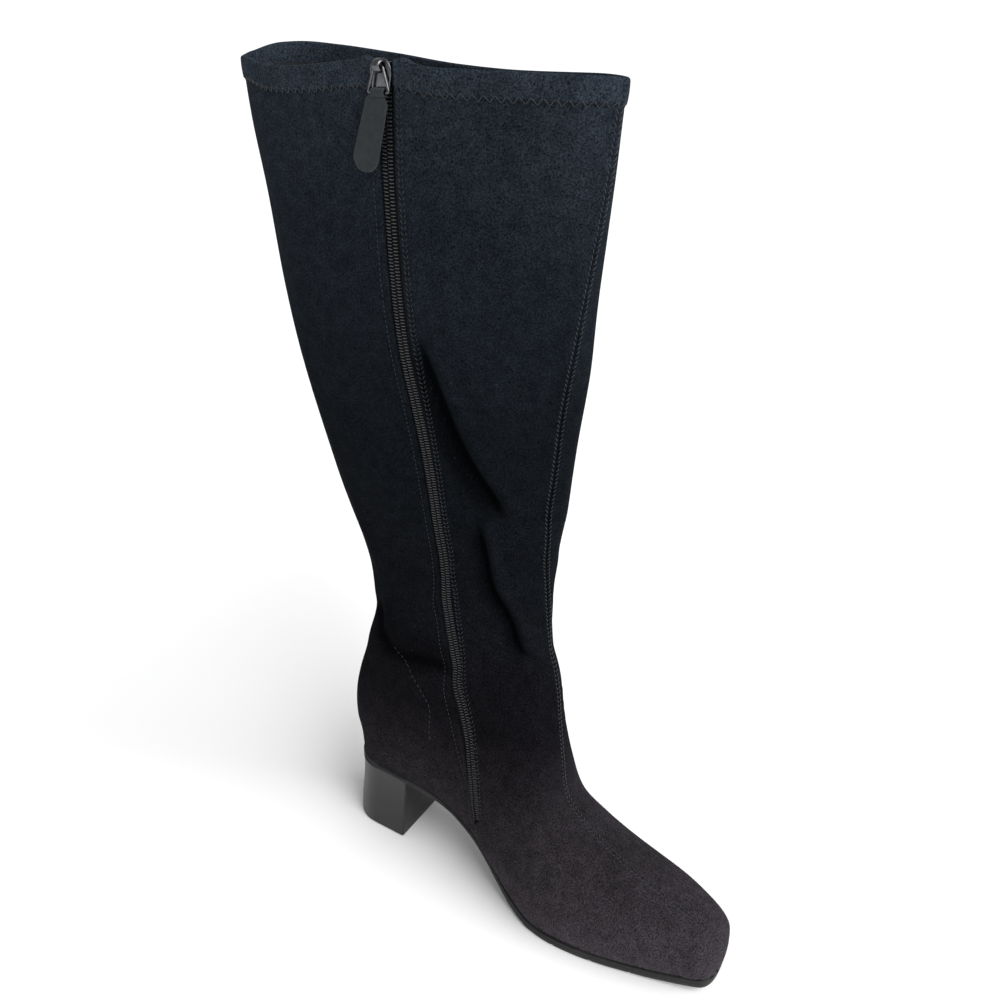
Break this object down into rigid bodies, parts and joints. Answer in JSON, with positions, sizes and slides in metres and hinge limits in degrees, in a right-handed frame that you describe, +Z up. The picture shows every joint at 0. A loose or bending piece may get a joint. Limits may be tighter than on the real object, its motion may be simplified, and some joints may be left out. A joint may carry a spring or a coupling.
{
  "type": "knee-high boot",
  "caption": "Left knee-high stretch boot with a hollow shaft and foot, a square toe, a block heel, a thin rubber sole and an inner side zip whose pull tab swings up.",
  "frame": {"origin": "on the floor, at the middle of the heel's ground face", "axes": "+X towards the toe, +Y to the outer side of the left foot, +Z up the shaft"},
  "size_m": [0.3227, 0.093, 0.4682],
  "materials": {
    "stretch_fabric": "matte napped",
    "sole_rubber": "satin",
    "heel_stack": "semi-gloss",
    "insole_lining": "matte",
    "zip_tape_weave": "woven",
    "zip_coil_nylon": "glossy",
    "dark_metal": "dark polished plating",
    "pull_leather": "matte"
  },
  "bodies": {
    "boot": {"upper": "stretch_fabric", "outsole": "sole_rubber", "heel": "heel_stack", "insole": "insole_lining", "zip_tape": "zip_tape_weave", "zip_coil": "zip_coil_nylon", "zip_slider": "dark_metal"},
    "zip_pull": {"pull_ring": "dark_metal", "pull_tab": "pull_leather"}
  },
  "joints": [
    {"name": "zip_pull_hinge", "type": "hinge", "parent": "boot", "child": "zip_pull", "pos_m": [0.02355, -0.04217, 0.45529], "axis": [-0.9998, -0.0205, 0], "range_deg": [0, 160]}
  ]
}
